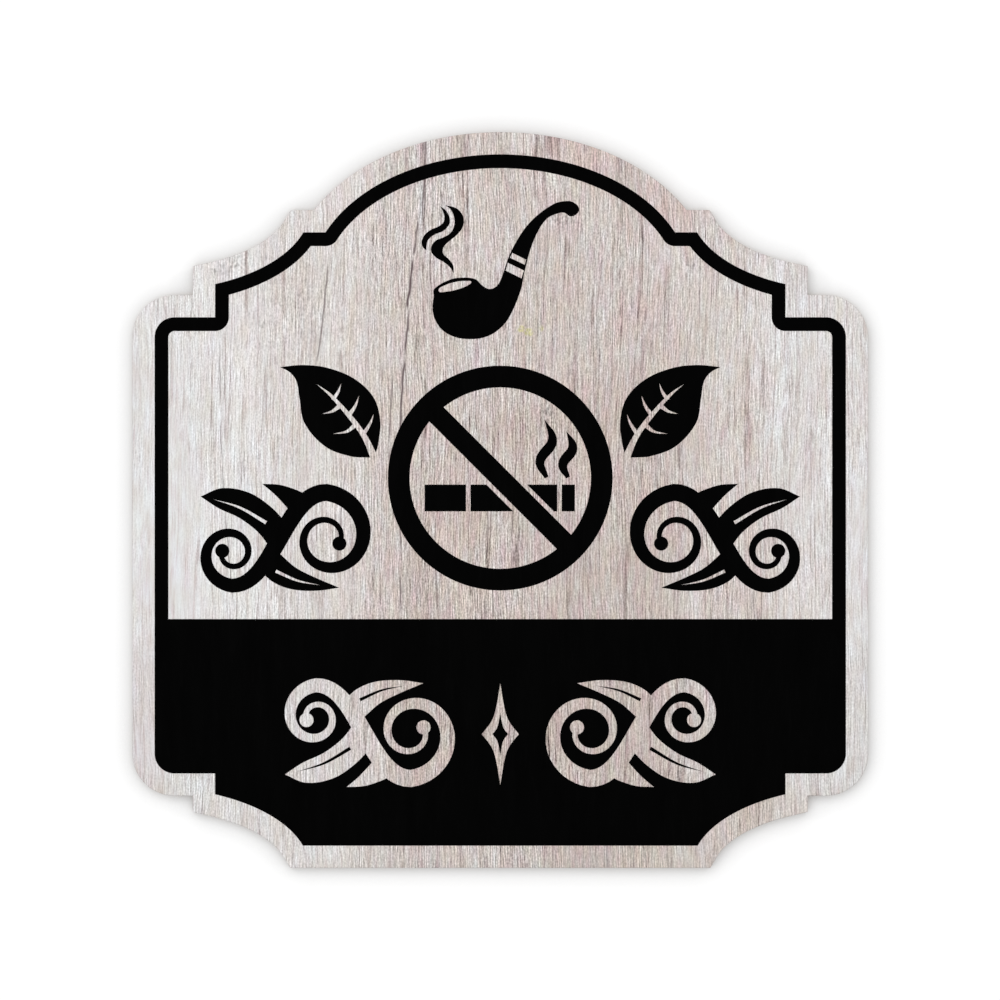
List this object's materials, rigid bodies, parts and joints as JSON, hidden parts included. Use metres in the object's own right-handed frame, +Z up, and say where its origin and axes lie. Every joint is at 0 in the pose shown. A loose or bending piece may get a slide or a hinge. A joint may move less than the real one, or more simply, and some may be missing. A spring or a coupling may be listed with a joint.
{
  "type": "no smoking sign",
  "caption": "Flat shaped wall sign of whitewashed wood, with stepped and scooped outline, arched top, black border line, lower black band and printed pipe and leaves.",
  "frame": {"origin": "centre of the back face, which lies on the wall", "axes": "-Y is the way the printed front faces, +Y points into the wall, +X to the right seen from the front, +Z up"},
  "size_m": [0.292, 0.006, 0.292],
  "materials": {
    "whitewashed_wood": "matt whitewash over fine straight grain",
    "black_print": "flat satin black ink"
  },
  "bodies": {
    "root": {"sign_board": "whitewashed_wood"}
  },
  "joints": []
}
